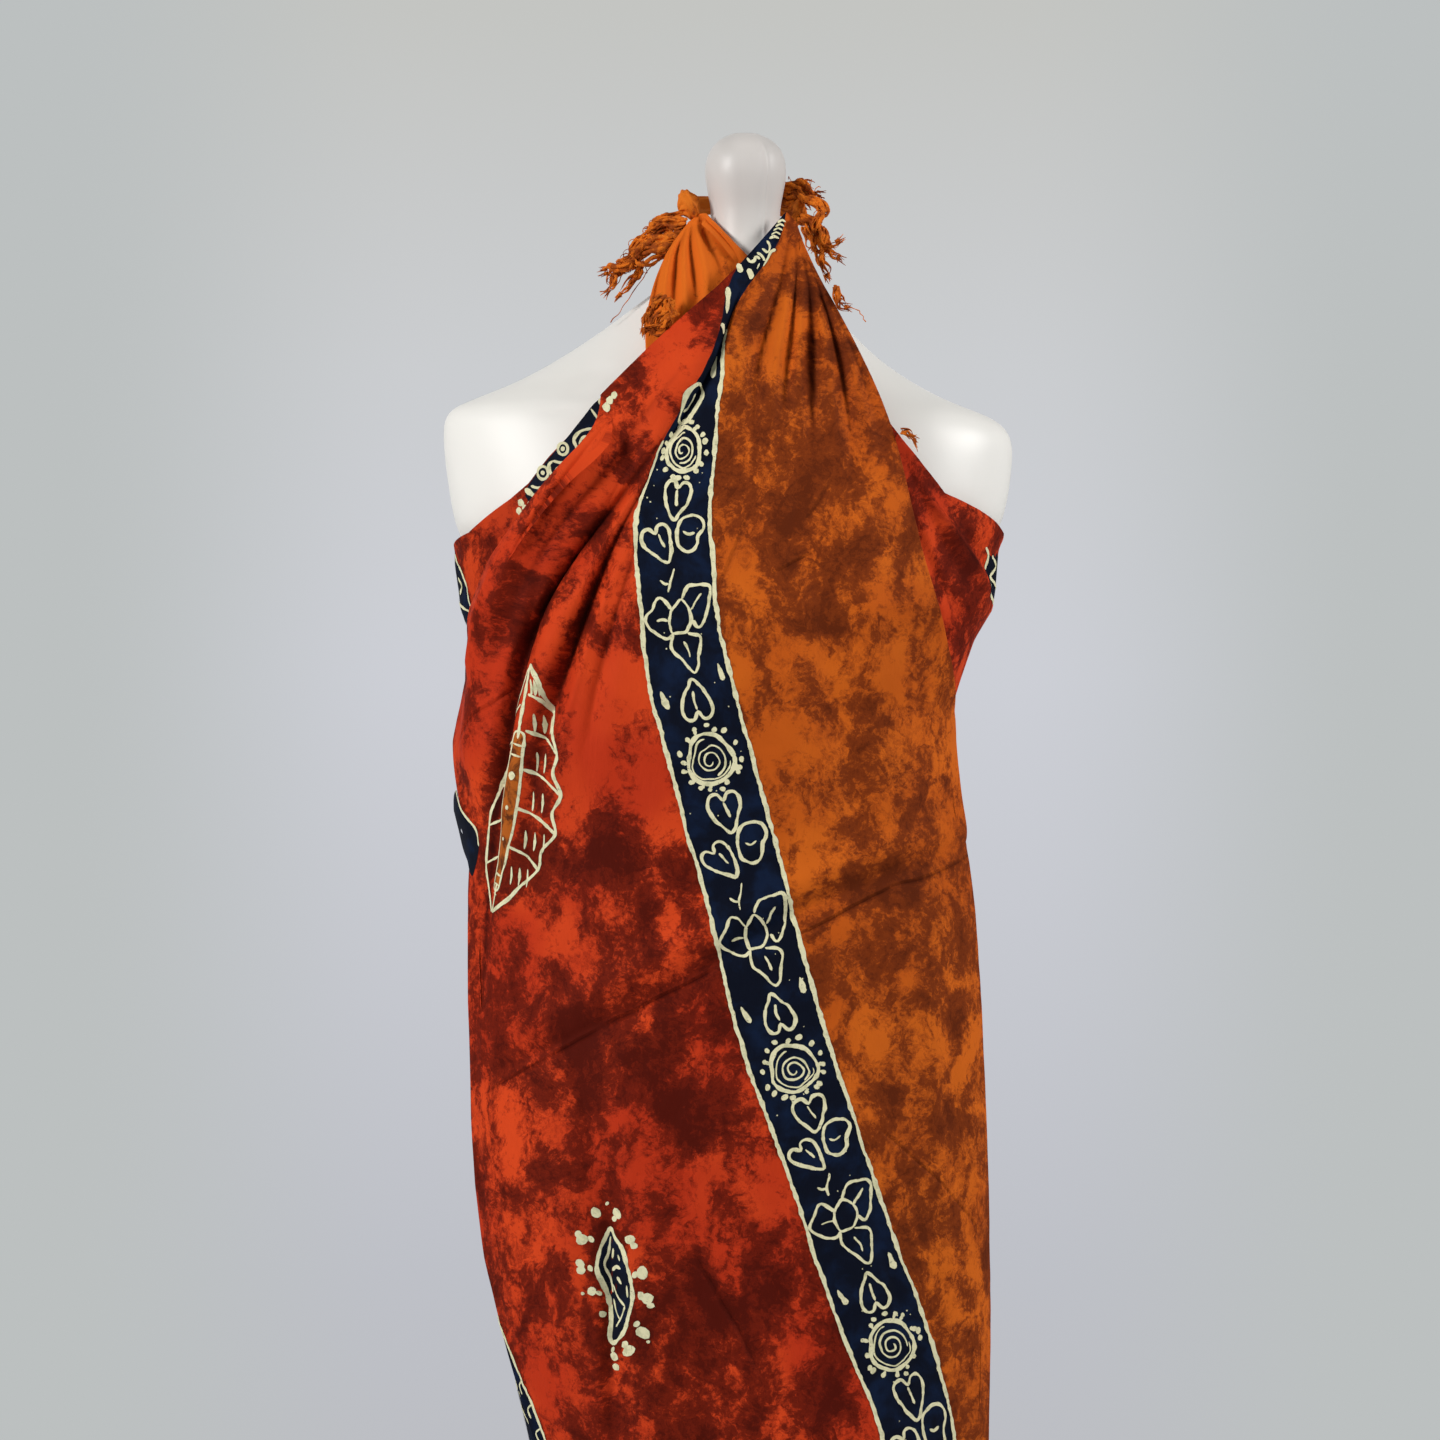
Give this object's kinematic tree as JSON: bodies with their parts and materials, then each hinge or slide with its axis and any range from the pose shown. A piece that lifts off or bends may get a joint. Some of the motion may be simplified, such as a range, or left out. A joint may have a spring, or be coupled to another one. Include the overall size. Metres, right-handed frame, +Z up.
{
  "type": "sarong on a dress form",
  "caption": "Fringed batik sarong wrapped and tied as a crossed halter dress, standing on a limbless dress form with a round foot.",
  "frame": {"origin": "centre of the round foot plate's underside, on the floor", "axes": "+Z up the stand pole; the garment's front faces -Y; the wearer's left side is +X"},
  "size_m": [0.3958, 0.31, 1.4815],
  "materials": {
    "red_cloth": "soft thin batik cloth, matt with a faint sheen",
    "orange_cloth": "soft thin batik cloth, matt with a faint sheen",
    "fringe": "twisted crinkled threads",
    "form": "smooth satin white",
    "stand": "white powder coat"
  },
  "bodies": {
    "root": {"over_wrap": "red_cloth", "under_wrap": "red_cloth", "back_wrap": "red_cloth", "neck_tie": "orange_cloth", "knot_right_side": "orange_cloth", "knot_left_side": "orange_cloth", "fringe_right_side": "fringe", "fringe_left_side": "fringe", "fringe_left_top": "fringe", "fringe_under_edge": "fringe", "fringe_over_edge": "fringe", "fringe_over_fold": "fringe", "dress_form": "form", "stand_pole": "stand", "stand_plate": "stand"}
  },
  "joints": []
}
